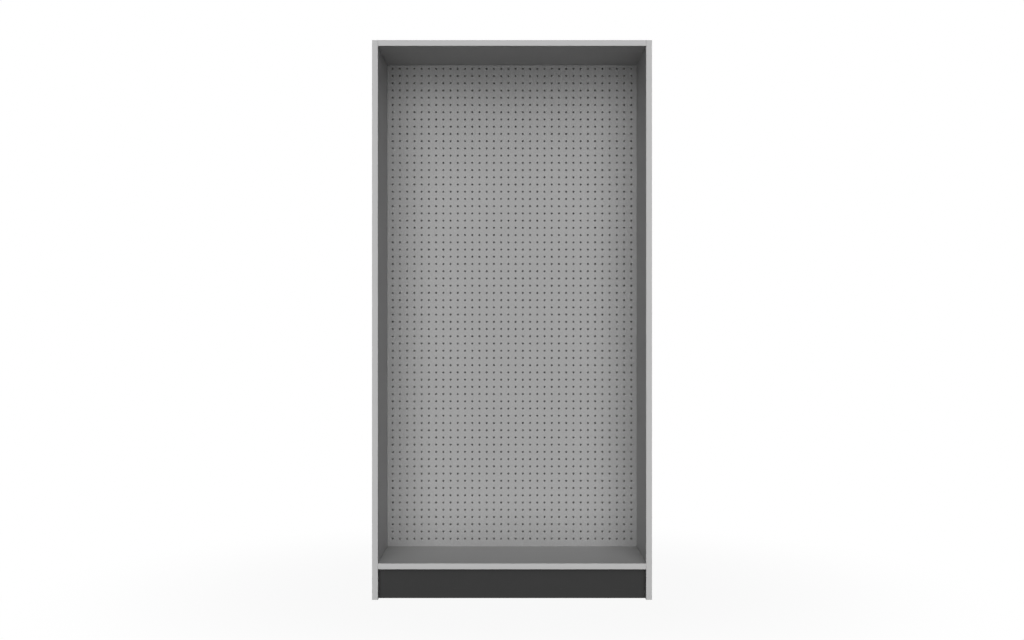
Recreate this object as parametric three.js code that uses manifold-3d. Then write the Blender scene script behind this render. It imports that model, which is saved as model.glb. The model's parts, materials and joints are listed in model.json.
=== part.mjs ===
// A single-sided gondola shelving unit in laminated board: two full-height side panels, a top panel, a base
// deck over a recessed kickplate, a pegboard back with a hook cavity behind it, and four levelling feet.
// Millimetres, +Z up. The origin is on the floor under the centre of the unit; the open front faces -Y.
import * as THREE from "three";
import { mergeVertices } from "three/addons/utils/BufferGeometryUtils.js";
import Module from "manifold-3d";

const wasm = await Module();
wasm.setup();

// ---- Driving dimensions ----
const INCH = 25.4;
const WIDTH = 36 * INCH;
const HEIGHT = 72 * INCH;
const DEPTH = 16 * INCH;
const BOARD = 0.75 * INCH; // thickness of every laminated board
const SHEET = 0.25 * INCH; // thickness of the pegboard and of the rear cover panel
const DECK_UNDERSIDE = 100; // height of the deck's lower face above the floor
const HOOK_CAVITY = 1.25 * INCH; // between the pegboard and the rear cover, for the tails of hooks
const REAR_INSET = 0.25 * INCH; // rear cover's outer face, in from the side panels' rear edges
const SEAM = 0.3; // gap where two pieces meet dry
const GLUE = 0.1; // glue line under an edge band or a clip plate
const BAND = 1; // edge band thickness
const GROOVE = 7; // depth of the grooves that hold the pegboard and the rear cover

// Peg holes are on this pitch; battens stand between two rows of them.
const PEG_PITCH = INCH;
const LOWEST_PEG_ROW = 27; // above the deck
const BATTEN_HOUSING = 6; // depth of a batten's housing in a side panel
const BATTEN_SHARES = [1 / 3, 2 / 3]; // of the height between deck and top, to the nearest gap between rows

// Cam fitting: cam, its bolt, the cap over it and the dowel beside it
const CAM_RADIUS = 7.3;
const CAM_HEIGHT = 12;
const CAM_PLAY = 0.3;
const CAM_SUNK = 2; // cam's top below the face it is set into
const CAM_FROM_END = 24; // cam's axis from the end of its board
const CAM_FROM_FRONT = 64; // first fitting from the front edge
const CAM_FROM_PEGBOARD = 52; // last fitting from the pegboard's face
const CROSS_REACH = 3.6; // screwdriver cross in the cam
const CROSS_DEPTH = 2.6;
const CROSS_HALF_WIDTH = 0.75;
const BOLT_HEAD_RADIUS = 3.3;
const BOLT_HEAD_LENGTH = 4.8;
const BOLT_NECK_RADIUS = 1.9;
const BOLT_SHANK_RADIUS = 3;
const BOLT_THREAD_RADIUS = 2.4;
const BOLT_THREAD_LENGTH = 11;
const BOLT_PLAY = 0.6; // round the head and neck inside the cam
const BORE_PLAY = 0.7; // round the head on its way in
const PILOT_PLAY = 0.35;
const DOWEL_RADIUS = 4;
const DOWEL_PLAY = 0.3;
const DOWEL_IN_SIDE = 12;
const DOWEL_IN_END = 18;
const CAP_PLAY = 0.4;
const CAP_EDGE = 0.3; // bevel round its face
const CAP_PEG_RADIUS = 1.6;
const CAP_PEG_LENGTH = 2.2;
const CAP_FLUSH = 0.3; // cap's face below the board's

// Kickplate and the clips that hold it
const KICK_RECESS = 1 * INCH; // kickplate's face, in from the front edges
const KICK_GAP = 1; // round all four of its edges
const CLIP_INSET = 13; // clip's axis from the side panel
const STUD_RADIUS = 3.4;
const STUD_BULB = 0.5; // how far the bulb stands out from the stud
const STUD_REACH = 15;
const STUD_PLATE_RADIUS = 9;
const STUD_PLATE = 2.4;
const SOCKET_PLAY = 0.5;
const SOCKET_BOTTOM = 3; // depth left past the stud's tip
const SOCKET_WALL = 3.6;
const SOCKET_END = 2;
const SOCKET_PLATE = 3;
const SOCKET_PLATE_HEIGHT = 44;
const CLIP_SCREW_HOLE_RADIUS = 2.2;
const CLIP_SCREW_SPACING = 32;

// Levelling feet
const FOOT_INSET = 24; // foot's axis from the side panel
const FOOT_BEHIND_KICK = 60;
const FOOT_BEFORE_RAIL = 45;
const FOOT_FLOOR_GAP = 1; // under the pad, screwed up
const PAD_RADIUS = 16;
const PAD_HEIGHT = 8;
const PAD_RIM = 2.5;
const PAD_HUB_WALL = 3.6;
const TIP_RADIUS = 4;
const TIP_LENGTH = 6;
const TIP_PLAY = 0.4;
const STEM_RADIUS = 5;
const STEM_PLAY = 0.5; // in the nut's bore, for the thread
const STEM_BELOW_DECK = 12;
const HEX_WALL = 4.8; // of the nut and the collar, measured at the corners
const COLLAR_HEIGHT = 7;
const NUT_HEIGHT = 8;
const BRACKET_SHEET = 3;
const BRACKET_WIDTH = 40;
const BRACKET_BELOW_DECK = 8;
const BRACKET_RISE = 42;
const BRACKET_REACH = 16; // past the foot's axis
const BRACKET_BEND = 5; // outside radius of the bend
const BRACKET_HOLE_RADIUS = 2.6;
const BRACKET_HOLE_SPACING = 22;
const BRACKET_HOLE_DROP = 15; // below the bracket's top

// Base frame
const SUPPORT_HOUSING = 5; // centre support's housing in the deck's underside
const SUPPORT_FROM_KICK = 8;

// ---- Fineness ----
const ROUND = 12; // sides on small round pieces
const ROUND_WIDE = 20; // sides on cams, caps and pads
const PAST = 1; // how far a cutter runs past the face it opens

// ---- Places worked out from them ----
const INNER = WIDTH / 2 - BOARD; // side panel's inner face
const BOARD_END = INNER - SEAM; // end of each board that stands between the side panels
const FRONT = -DEPTH / 2;
const BACK = DEPTH / 2;
const BOARD_FRONT = FRONT + BAND + GLUE; // front edge of a banded board, under its band
const DECK_TOP = DECK_UNDERSIDE + BOARD;
const TOP_UNDERSIDE = HEIGHT - BOARD;
const REAR_COVER_BACK = BACK - REAR_INSET;
const REAR_COVER_FRONT = REAR_COVER_BACK - SHEET;
const PEGBOARD_BACK = REAR_COVER_FRONT - HOOK_CAVITY;
const PEGBOARD_FRONT = PEGBOARD_BACK - SHEET;
const SHEET_EDGE = INNER + GROOVE - SEAM; // where a sheet ends, inside a side panel's groove
const SHEET_BOTTOM = DECK_TOP - GROOVE + SEAM;
const SHEET_TOP = TOP_UNDERSIDE + GROOVE - SEAM;
const FITTING_ROWS = [FRONT + CAM_FROM_FRONT, PEGBOARD_FRONT - CAM_FROM_PEGBOARD];
const DOWEL_ROW = (FITTING_ROWS[0] + FITTING_ROWS[1]) / 2;
const CAM_X = BOARD_END - CAM_FROM_END;
const KICK_FRONT = FRONT + KICK_RECESS;
const KICK_BACK = KICK_FRONT + BOARD;
const RAIL_BACK = REAR_COVER_BACK;
const RAIL_FRONT = RAIL_BACK - BOARD;
const RAIL_MIDDLE = (RAIL_FRONT + RAIL_BACK) / 2;
const RAIL_DOWEL_HEIGHT = DECK_UNDERSIDE / 2;
const CAM_BORE_RADIUS = CAM_RADIUS + CAM_PLAY;
const BOLT_BORE_RADIUS = BOLT_HEAD_RADIUS + BORE_PLAY;
const PILOT_RADIUS = BOLT_THREAD_RADIUS + PILOT_PLAY;
const DOWEL_HOLE_RADIUS = DOWEL_RADIUS + DOWEL_PLAY;
const AXIS_BELOW_CAM_TOP = BOARD / 2 - CAM_SUNK;
const CLIP_HEIGHT = DECK_UNDERSIDE / 2;
const PAD_TOP = FOOT_FLOOR_GAP + PAD_HEIGHT;
const HEX_RADIUS = STEM_RADIUS + HEX_WALL;
const FOOT_ROWS = { front: KICK_BACK + FOOT_BEHIND_KICK, rear: RAIL_FRONT - FOOT_BEFORE_RAIL };
const SIDES = { left: -1, right: 1 };
const LEVELS = { top: TOP_UNDERSIDE + BOARD / 2, deck: DECK_UNDERSIDE + BOARD / 2 };

// ---- Materials ----
const finish = (color, roughness, metalness = 0) =>
  new THREE.MeshStandardMaterial({ color, roughness, metalness });
const laminate = finish("#b7b7b7", 0.55);
const edgeBand = finish("#b9b9b9", 0.4);
const perforated = finish("#a9a9a9", 0.65);
const darkLaminate = finish("#3f3f3f", 0.5);
const rawWood = finish("#b99f78", 0.8);
const zinc = finish("#b4b6b8", 0.35, 1);
const greyPlastic = finish("#a8a8a8", 0.45);
const blackPlastic = finish("#1e1e1f", 0.5);

// ---- Shape helpers ----
// A box between two corners.
function block(x0, x1, y0, y1, z0, z1) {
  const box = new THREE.BoxGeometry(x1 - x0, y1 - y0, z1 - z0);
  return box.translate((x0 + x1) / 2, (y0 + y1) / 2, (z0 + z1) / 2);
}

// A span from one place to another on the given side, lowest first, as block and rod want it.
const span = (side, from, to) => (side > 0 ? [from, to] : [-to, -from]);

// A turned piece on the Z axis, from a profile of [radius, height] points that run upwards.
function turned(profile, sides = ROUND) {
  const points = profile.map(([r, z]) => new THREE.Vector2(r, z));
  return new THREE.LatheGeometry(points, sides).rotateX(Math.PI / 2);
}

// A plain rod on the Z axis between two heights.
const rod = (radius, z0, z1, sides = ROUND) => turned([[0, z0], [radius, z0], [radius, z1], [0, z1]], sides);

// A rod along X between two places.
const rodX = (radius, x0, x1, y, z) => rod(radius, x0, x1).rotateY(Math.PI / 2).translate(0, y, z);

function solidOf(geometry) {
  const bare = geometry.clone();
  bare.deleteAttribute("normal");
  bare.deleteAttribute("uv");
  const merged = mergeVertices(bare);
  return new wasm.Manifold(
    new wasm.Mesh({
      numProp: 3,
      vertProperties: merged.attributes.position.array,
      triVerts: new Uint32Array(merged.index.array),
    }),
  );
}

function geometryOf(solid) {
  const mesh = solid.getMesh();
  return new THREE.BufferGeometry()
    .setAttribute("position", new THREE.BufferAttribute(mesh.vertProperties, 3))
    .setIndex(new THREE.BufferAttribute(mesh.triVerts, 1));
}

const cut = (geometry, cutters) =>
  geometryOf(cutters.reduce((solid, cutter) => solid.subtract(solidOf(cutter)), solidOf(geometry)));
const join = (geometries) => geometryOf(geometries.map(solidOf).reduce((a, b) => a.add(b)));

function piece(name, geometry, material) {
  const mesh = new THREE.Mesh(geometry, material);
  mesh.name = name;
  return mesh;
}

// A board or sheet between two corners, with cuts stated in the unit's own frame, hung at its own centre.
function panel(name, material, [x0, x1], [y0, y1], [z0, z1], cutters = []) {
  const centre = new THREE.Vector3((x0 + x1) / 2, (y0 + y1) / 2, (z0 + z1) / 2);
  const whole = block(x0, x1, y0, y1, z0, z1);
  const shape = cutters.length ? cut(whole, cutters) : whole;
  const mesh = piece(name, shape.translate(-centre.x, -centre.y, -centre.z), material);
  mesh.position.copy(centre);
  return mesh;
}

// ---- Cuts that the boards share ----
const sheets = [[PEGBOARD_FRONT, PEGBOARD_BACK], [REAR_COVER_FRONT, REAR_COVER_BACK]];

const battenHeights = BATTEN_SHARES.map((share) => {
  const wanted = DECK_TOP + share * (TOP_UNDERSIDE - DECK_TOP);
  const row = Math.round((wanted - DECK_TOP - LOWEST_PEG_ROW) / PEG_PITCH - 0.5);
  return DECK_TOP + LOWEST_PEG_ROW + (row + 0.5) * PEG_PITCH;
});

// Grooves for both sheets in a side panel, stopped behind the ends of the deck and the top.
const sideGrooves = (side) =>
  sheets.map(([front, back]) => {
    const across = span(side, INNER - PAST, INNER + GROOVE);
    return block(...across, front - SEAM, back + SEAM, SHEET_BOTTOM - SEAM, SHEET_TOP + SEAM);
  });

// Grooves for both sheets along the top panel's lower face or the deck's upper face.
const levelGrooves = (z0, z1) =>
  sheets.map(([front, back]) => block(-WIDTH / 2, WIDTH / 2, front - SEAM, back + SEAM, z0, z1));

const battenHousings = (side) =>
  battenHeights.map((height) => {
    const across = span(side, INNER - PAST, INNER + BATTEN_HOUSING);
    const halfDeep = BOARD / 2 + SEAM;
    return block(...across, PEGBOARD_BACK, REAR_COVER_FRONT, height - halfDeep, height + halfDeep);
  });

// Holes in a side panel's inner face: a pilot hole for each cam bolt, and a hole for each dowel.
function sideHoles(side) {
  const hole = (radius, depth, y, z) => rodX(radius, ...span(side, INNER - PAST, INNER + depth), y, z);
  const levelHoles = Object.values(LEVELS).flatMap((height) => [
    ...FITTING_ROWS.map((y) => hole(PILOT_RADIUS, BOLT_THREAD_LENGTH + SEAM, y, height)),
    hole(DOWEL_HOLE_RADIUS, DOWEL_IN_SIDE + SEAM, DOWEL_ROW, height),
  ]);
  const railHole = hole(DOWEL_HOLE_RADIUS, DOWEL_IN_SIDE + SEAM, RAIL_MIDDLE, RAIL_DOWEL_HEIGHT);
  return [...levelHoles, railHole];
}

// Holes in one end of a board: cam bores from its face, bolt bores and dowel holes from its end.
// face is the height of the face that takes the cams, and down is -1 where they go in from above.
function endHoles(side, height, face, down) {
  const mouth = face - down * PAST;
  const floor = face + down * (CAM_SUNK + CAM_HEIGHT + SEAM);
  const depth = [Math.min(mouth, floor), Math.max(mouth, floor)];
  const bores = FITTING_ROWS.flatMap((y) => [
    rod(CAM_BORE_RADIUS, ...depth, ROUND_WIDE).translate(side * CAM_X, y, 0),
    rodX(BOLT_BORE_RADIUS, ...span(side, CAM_X, BOARD_END + PAST), y, height),
  ]);
  return [...bores, endDowelHole(side, DOWEL_ROW, height)];
}

function endDowelHole(side, y, z) {
  return rodX(DOWEL_HOLE_RADIUS, ...span(side, BOARD_END - DOWEL_IN_END - SEAM, BOARD_END + PAST), y, z);
}

const bothEnds = (make) => Object.values(SIDES).flatMap(make);

// ---- Boards ----
function sidePanel(name, side) {
  const cuts = [...sideGrooves(side), ...battenHousings(side), ...sideHoles(side)];
  return panel(name, laminate, span(side, INNER, WIDTH / 2), [BOARD_FRONT, BACK], [0, HEIGHT], cuts);
}

// The length of what stands between the side panels.
const BETWEEN_SIDES = [-BOARD_END, BOARD_END];

const topPanel = () =>
  panel("top_panel", laminate, BETWEEN_SIDES, [BOARD_FRONT, BACK], [TOP_UNDERSIDE, HEIGHT], [
    ...levelGrooves(TOP_UNDERSIDE - PAST, TOP_UNDERSIDE + GROOVE),
    ...bothEnds((side) => endHoles(side, LEVELS.top, HEIGHT, -1)),
  ]);

const SUPPORT_SPAN = [KICK_BACK + SUPPORT_FROM_KICK, RAIL_FRONT - SEAM];

const baseDeck = () =>
  panel("base_deck", laminate, BETWEEN_SIDES, [BOARD_FRONT, BACK], [DECK_UNDERSIDE, DECK_TOP], [
    ...levelGrooves(DECK_TOP - GROOVE, DECK_TOP + PAST),
    ...bothEnds((side) => endHoles(side, LEVELS.deck, DECK_UNDERSIDE, 1)),
    block(
      -BOARD / 2 - SEAM,
      BOARD / 2 + SEAM,
      SUPPORT_SPAN[0] - SEAM,
      SUPPORT_SPAN[1] + SEAM,
      DECK_UNDERSIDE - PAST,
      DECK_UNDERSIDE + SUPPORT_HOUSING,
    ),
  ]);

const rearBaseRail = () =>
  panel("rear_base_rail", laminate, BETWEEN_SIDES, [RAIL_FRONT, RAIL_BACK], [0, DECK_UNDERSIDE - SEAM], [
    ...bothEnds((side) => endDowelHole(side, RAIL_MIDDLE, RAIL_DOWEL_HEIGHT)),
  ]);

const baseCentreSupport = () =>
  panel(
    "base_centre_support",
    laminate,
    [-BOARD / 2, BOARD / 2],
    SUPPORT_SPAN,
    [0, DECK_UNDERSIDE + SUPPORT_HOUSING - SEAM],
  );

const kickplate = () =>
  panel(
    "kickplate",
    darkLaminate,
    [-INNER + KICK_GAP, INNER - KICK_GAP],
    [KICK_FRONT, KICK_BACK],
    [KICK_GAP, DECK_UNDERSIDE - KICK_GAP],
  );

// The pegboard has too many round holes to cut here, so it is a plain sheet, like the rear cover.
const sheetPanel = (name, material, [front, back]) =>
  panel(name, material, [-SHEET_EDGE, SHEET_EDGE], [front, back], [SHEET_BOTTOM, SHEET_TOP]);

const batten = (name, height) =>
  panel(
    name,
    rawWood,
    [-INNER - BATTEN_HOUSING + SEAM, INNER + BATTEN_HOUSING - SEAM],
    [PEGBOARD_BACK + SEAM, REAR_COVER_FRONT - SEAM],
    [height - BOARD / 2, height + BOARD / 2],
  );

const band = (name, across, heights) => panel(name, edgeBand, across, [FRONT, FRONT + BAND], heights);

// ---- Cam fittings ----
// The cam stands on Z with its screwdriver face at height 0, and takes its bolt from +X.
function camShape() {
  const bevel = 0.5;
  const body = turned(
    [[0, -CAM_HEIGHT], [CAM_RADIUS, -CAM_HEIGHT], [CAM_RADIUS, -bevel], [CAM_RADIUS - bevel, 0], [0, 0]],
    ROUND_WIDE,
  );
  const head = BOLT_HEAD_RADIUS + BOLT_PLAY;
  const neck = BOLT_NECK_RADIUS + BOLT_PLAY;
  const axis = -AXIS_BELOW_CAM_TOP;
  return cut(body, [
    block(-head, BOLT_HEAD_RADIUS, -head, head, axis - head, axis + head),
    block(0, CAM_RADIUS + PAST, -neck, neck, axis - neck, axis + neck),
    block(-CROSS_REACH, CROSS_REACH, -CROSS_HALF_WIDTH, CROSS_HALF_WIDTH, -CROSS_DEPTH, PAST),
    block(-CROSS_HALF_WIDTH, CROSS_HALF_WIDTH, -CROSS_REACH, CROSS_REACH, -CROSS_DEPTH, PAST),
    rod(CAP_PEG_RADIUS + SEAM, -CROSS_DEPTH, PAST, 8),
  ]);
}

// The bolt lies on Z: height 0 is the side panel's inner face, its thread runs up and its head down.
function boltShape() {
  const headFar = -SEAM - CAM_FROM_END - BOLT_HEAD_RADIUS + BOLT_PLAY; // short of the cam pocket's far wall
  const headNear = headFar + BOLT_HEAD_LENGTH;
  const shankEnd = -SEAM - CAM_FROM_END + CAM_RADIUS + BORE_PLAY;
  return turned([
    [0, headFar],
    [BOLT_HEAD_RADIUS - 0.8, headFar],
    [BOLT_HEAD_RADIUS, headFar + 1],
    [BOLT_HEAD_RADIUS, headNear - 0.8],
    [BOLT_NECK_RADIUS, headNear],
    [BOLT_NECK_RADIUS, shankEnd],
    [BOLT_SHANK_RADIUS, shankEnd],
    [BOLT_SHANK_RADIUS, -SEAM],
    [BOLT_THREAD_RADIUS, -SEAM],
    [BOLT_THREAD_RADIUS, BOLT_THREAD_LENGTH - 1],
    [BOLT_THREAD_RADIUS - 0.8, BOLT_THREAD_LENGTH],
    [0, BOLT_THREAD_LENGTH],
  ]);
}

// The dowel lies on Z: height 0 is the side panel's inner face.
function dowelShape() {
  const bevel = 1;
  const low = -SEAM - DOWEL_IN_END;
  return turned([
    [0, low],
    [DOWEL_RADIUS - bevel, low],
    [DOWEL_RADIUS, low + bevel],
    [DOWEL_RADIUS, DOWEL_IN_SIDE - bevel],
    [DOWEL_RADIUS - bevel, DOWEL_IN_SIDE],
    [0, DOWEL_IN_SIDE],
  ]);
}

// A flush cap over a cam: height 0 is its underside, with a peg below it that sits in the cam's cross.
function capShape() {
  const rim = CAM_BORE_RADIUS - CAP_PLAY;
  const thickness = CAM_SUNK - SEAM - CAP_FLUSH;
  return turned(
    [
      [0, -CAP_PEG_LENGTH],
      [CAP_PEG_RADIUS, -CAP_PEG_LENGTH],
      [CAP_PEG_RADIUS, 0],
      [rim, 0],
      [rim, thickness - CAP_EDGE],
      [rim - CAP_EDGE, thickness],
      [0, thickness],
    ],
    ROUND_WIDE,
  );
}

const cam = camShape();
const bolt = boltShape();
const dowel = dowelShape();
const cap = capShape();
const ROW_NAMES = ["front", "rear"];

// Lays a piece that was made on Z along X, its top towards the given side panel.
function layTowards(mesh, side, y, z) {
  mesh.rotation.y = (side * Math.PI) / 2;
  mesh.position.set(side * INNER, y, z);
  return mesh;
}

// The fittings that hold one end of the top panel or the deck to a side panel.
function fittings(level, side, sideName) {
  const height = LEVELS[level];
  const fromAbove = level === "top";
  const group = new THREE.Group();
  FITTING_ROWS.forEach((y, row) => {
    const place = `${level}_${sideName}_${ROW_NAMES[row]}`;
    const camMesh = piece(`cam_${place}`, cam, zinc);
    const camTop = fromAbove ? height + AXIS_BELOW_CAM_TOP : height - AXIS_BELOW_CAM_TOP;
    camMesh.rotation.set(fromAbove ? 0 : Math.PI, 0, side > 0 ? 0 : Math.PI);
    camMesh.position.set(side * CAM_X, y, camTop);
    group.add(camMesh, layTowards(piece(`cam_bolt_${place}`, bolt, zinc), side, y, height));
    if (fromAbove) {
      const capMesh = piece(`cam_cap_${sideName}_${ROW_NAMES[row]}`, cap, greyPlastic);
      capMesh.position.set(side * CAM_X, y, camTop + SEAM);
      group.add(capMesh);
    }
  });
  group.add(layTowards(piece(`dowel_${level}_${sideName}`, dowel, rawWood), side, DOWEL_ROW, height));
  return group;
}

// ---- Levelling feet ----
// Each is made at its own axis on the floor, with its side panel towards +X.
function bracketShape() {
  const face = FOOT_INSET - SEAM;
  const inner = BRACKET_BEND - BRACKET_SHEET;
  const top = DECK_UNDERSIDE - BRACKET_BELOW_DECK;
  const low = top - BRACKET_RISE;
  const profile = new THREE.Shape();
  profile.moveTo(-BRACKET_REACH, low);
  profile.lineTo(face - BRACKET_BEND, low);
  profile.absarc(face - BRACKET_BEND, low + BRACKET_BEND, BRACKET_BEND, -Math.PI / 2, 0, false);
  profile.lineTo(face, top);
  profile.lineTo(face - BRACKET_SHEET, top);
  profile.lineTo(face - BRACKET_SHEET, low + BRACKET_BEND);
  profile.absarc(face - BRACKET_BEND, low + BRACKET_BEND, inner, 0, -Math.PI / 2, true);
  profile.lineTo(-BRACKET_REACH, low + BRACKET_SHEET);
  profile.closePath();
  const bends = { depth: BRACKET_WIDTH, bevelEnabled: false, curveSegments: 3 };
  const angle = new THREE.ExtrudeGeometry(profile, bends)
    .rotateX(Math.PI / 2)
    .translate(0, BRACKET_WIDTH / 2, 0);
  const nutTop = low + BRACKET_SHEET + NUT_HEIGHT;
  const nut = rod(HEX_RADIUS, low + BRACKET_SHEET / 2, nutTop, 6);
  const bore = rod(STEM_RADIUS + STEM_PLAY, low - PAST, nutTop + PAST);
  const screwHoles = [-1, 1].map((way) =>
    rodX(
      BRACKET_HOLE_RADIUS,
      face - BRACKET_SHEET - PAST,
      face + PAST,
      (way * BRACKET_HOLE_SPACING) / 2,
      top - BRACKET_HOLE_DROP,
    ),
  );
  return cut(join([angle, nut]), [bore, ...screwHoles]);
}

function padShape() {
  const bore = TIP_RADIUS + TIP_PLAY;
  const hub = bore + PAD_HUB_WALL;
  const edge = 1;
  const rimTop = FOOT_FLOOR_GAP + edge + PAD_RIM;
  return turned(
    [
      [0, FOOT_FLOOR_GAP],
      [PAD_RADIUS - edge, FOOT_FLOOR_GAP],
      [PAD_RADIUS, FOOT_FLOOR_GAP + edge],
      [PAD_RADIUS, rimTop],
      [hub, PAD_TOP - edge],
      [hub, PAD_TOP],
      [bore, PAD_TOP],
      [bore, PAD_TOP - TIP_LENGTH - SEAM],
      [0, PAD_TOP - TIP_LENGTH - SEAM],
    ],
    ROUND_WIDE,
  );
}

function stemShape() {
  const tip = PAD_TOP - TIP_LENGTH;
  const collar = PAD_TOP + SEAM;
  const top = DECK_UNDERSIDE - STEM_BELOW_DECK;
  const bevel = 1;
  const shaft = turned([
    [0, tip],
    [TIP_RADIUS - bevel, tip],
    [TIP_RADIUS, tip + bevel],
    [TIP_RADIUS, collar + bevel],
    [STEM_RADIUS, collar + bevel],
    [STEM_RADIUS, top - bevel],
    [STEM_RADIUS - bevel, top],
    [0, top],
  ]);
  return join([shaft, rod(HEX_RADIUS, collar, collar + COLLAR_HEIGHT, 6)]);
}

const bracket = bracketShape();
const pad = padShape();
const stem = stemShape();

function levellingFoot(row, side, sideName) {
  const group = new THREE.Group();
  group.add(
    piece(`foot_bracket_${row}_${sideName}`, bracket, zinc),
    piece(`foot_stem_${row}_${sideName}`, stem, zinc),
    piece(`foot_pad_${row}_${sideName}`, pad, blackPlastic),
  );
  group.rotation.z = side > 0 ? 0 : Math.PI;
  group.position.set(side * (INNER - FOOT_INSET), FOOT_ROWS[row], 0);
  return group;
}

// ---- Kickplate clips ----
// Both halves are made on Z, which points into the unit: height 0 is the kickplate's rear face, and the side
// panel is towards +X.
const studShape = () =>
  turned([
    [0, GLUE],
    [STUD_PLATE_RADIUS, GLUE],
    [STUD_PLATE_RADIUS, STUD_PLATE],
    [STUD_RADIUS, STUD_PLATE],
    [STUD_RADIUS, STUD_REACH - 5],
    [STUD_RADIUS + STUD_BULB, STUD_REACH - 3],
    [STUD_RADIUS - 1, STUD_REACH],
    [0, STUD_REACH],
  ]);

function socketShape() {
  const mouth = STUD_PLATE + SEAM;
  const bottom = STUD_REACH + SOCKET_BOTTOM;
  const end = bottom + SOCKET_END;
  const bore = STUD_RADIUS + STUD_BULB + SOCKET_PLAY;
  const face = CLIP_INSET - SEAM;
  const barrel = rod(bore + SOCKET_WALL, mouth, end);
  const web = block(0, face, -SOCKET_WALL, SOCKET_WALL, mouth, end);
  const plateHalf = SOCKET_PLATE_HEIGHT / 2;
  const plate = block(face - SOCKET_PLATE, face, -plateHalf, plateHalf, mouth, end);
  const screwHoles = [-1, 1].map((way) =>
    rodX(
      CLIP_SCREW_HOLE_RADIUS,
      face - SOCKET_PLATE - PAST,
      face + PAST,
      (way * CLIP_SCREW_SPACING) / 2,
      (mouth + end) / 2,
    ),
  );
  return cut(join([barrel, web, plate]), [rod(bore, mouth - PAST, bottom), ...screwHoles]);
}

const stud = studShape();
const socket = socketShape();

function kickClip(side, sideName) {
  const group = new THREE.Group();
  group.add(
    piece(`kick_clip_stud_${sideName}`, stud, blackPlastic),
    piece(`kick_clip_socket_${sideName}`, socket, blackPlastic),
  );
  group.rotation.set(-Math.PI / 2, 0, side > 0 ? 0 : Math.PI);
  group.position.set(side * (INNER - CLIP_INSET), KICK_BACK, CLIP_HEIGHT);
  return group;
}

// ---- The unit ----
const unit = new THREE.Group();
unit.add(
  topPanel(),
  baseDeck(),
  rearBaseRail(),
  baseCentreSupport(),
  kickplate(),
  sheetPanel("pegboard_panel", perforated, sheets[0]),
  sheetPanel("rear_cover_panel", laminate, sheets[1]),
  batten("back_batten_lower", battenHeights[0]),
  batten("back_batten_upper", battenHeights[1]),
  band("edge_band_top", BETWEEN_SIDES, [TOP_UNDERSIDE, HEIGHT]),
  band("edge_band_deck", BETWEEN_SIDES, [DECK_UNDERSIDE, DECK_TOP]),
);

for (const [sideName, side] of Object.entries(SIDES)) {
  const railDowel = piece(`dowel_rear_rail_${sideName}`, dowel, rawWood);
  unit.add(
    sidePanel(`side_panel_${sideName}`, side),
    band(`edge_band_side_${sideName}`, span(side, INNER, WIDTH / 2), [0, HEIGHT]),
    layTowards(railDowel, side, RAIL_MIDDLE, RAIL_DOWEL_HEIGHT),
    kickClip(side, sideName),
  );
  for (const level of Object.keys(LEVELS)) unit.add(fittings(level, side, sideName));
  for (const row of Object.keys(FOOT_ROWS)) unit.add(levellingFoot(row, side, sideName));
}

export default unit;
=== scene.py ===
"""The finish of an empty gondola display bay: grey laminated boards with banded edges, a perforated hardboard
back, a charcoal kickplate, and the fittings, levelling feet and screws behind it. Metres, +Z up; the open
front faces -Y."""

import json
import math

import bmesh
import bpy
from mathutils import Matrix, Vector


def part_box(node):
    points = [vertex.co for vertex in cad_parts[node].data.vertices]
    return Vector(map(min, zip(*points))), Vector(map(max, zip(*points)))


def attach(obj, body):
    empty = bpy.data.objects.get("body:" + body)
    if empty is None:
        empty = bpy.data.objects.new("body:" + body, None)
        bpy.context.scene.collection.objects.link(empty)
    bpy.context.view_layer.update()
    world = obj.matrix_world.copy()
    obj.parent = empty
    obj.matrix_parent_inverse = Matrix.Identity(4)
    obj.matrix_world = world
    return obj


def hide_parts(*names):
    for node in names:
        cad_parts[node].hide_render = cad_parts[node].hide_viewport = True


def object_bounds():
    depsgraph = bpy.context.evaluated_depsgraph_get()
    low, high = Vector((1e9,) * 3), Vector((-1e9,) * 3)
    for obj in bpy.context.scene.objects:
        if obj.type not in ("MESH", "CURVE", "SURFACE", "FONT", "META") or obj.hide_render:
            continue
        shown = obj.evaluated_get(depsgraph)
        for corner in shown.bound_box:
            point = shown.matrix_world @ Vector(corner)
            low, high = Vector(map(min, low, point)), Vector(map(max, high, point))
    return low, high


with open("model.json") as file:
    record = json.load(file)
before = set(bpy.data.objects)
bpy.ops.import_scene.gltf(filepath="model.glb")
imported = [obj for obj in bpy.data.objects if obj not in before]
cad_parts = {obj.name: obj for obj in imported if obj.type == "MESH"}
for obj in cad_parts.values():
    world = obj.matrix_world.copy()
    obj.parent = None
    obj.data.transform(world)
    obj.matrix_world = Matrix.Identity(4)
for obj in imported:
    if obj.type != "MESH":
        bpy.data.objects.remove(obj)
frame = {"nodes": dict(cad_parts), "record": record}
cad_low, cad_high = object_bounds()

MM = 0.001
INCH = 0.0254
SIDES = {"left": -1, "right": 1}
ROWS = ("front", "rear")
LEVELS = ("top", "deck")

# Peg holes
PEG_PITCH = 1 * INCH
PEG_COLUMNS = 34
PEG_ROWS = 66
PEG_HOLE_RADIUS = 0.125 * INCH
PEG_CHAMFER = 0.35 * MM
PEG_LOWEST_ROW = 27 * MM  # above the deck
PEG_SIDES = 12

# Edges
BOARD_ROUNDING = 0.35 * MM
BAND_ROUNDING = 0.7 * MM
SHEET_ROUNDING = 0.3 * MM
KICK_ROUNDING = 0.6 * MM
BATTEN_ROUNDING = 1.0 * MM
CORNER_ANGLE = math.radians(50)  # a sharper turn than this is a corner
FLAT_ANGLE = math.radians(0.5)  # a smaller turn than this is one flat
SAME_POINT = 0.002 * MM
ON_SKIN = 0.05 * MM
AT_FRONT = 0.1 * MM

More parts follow.
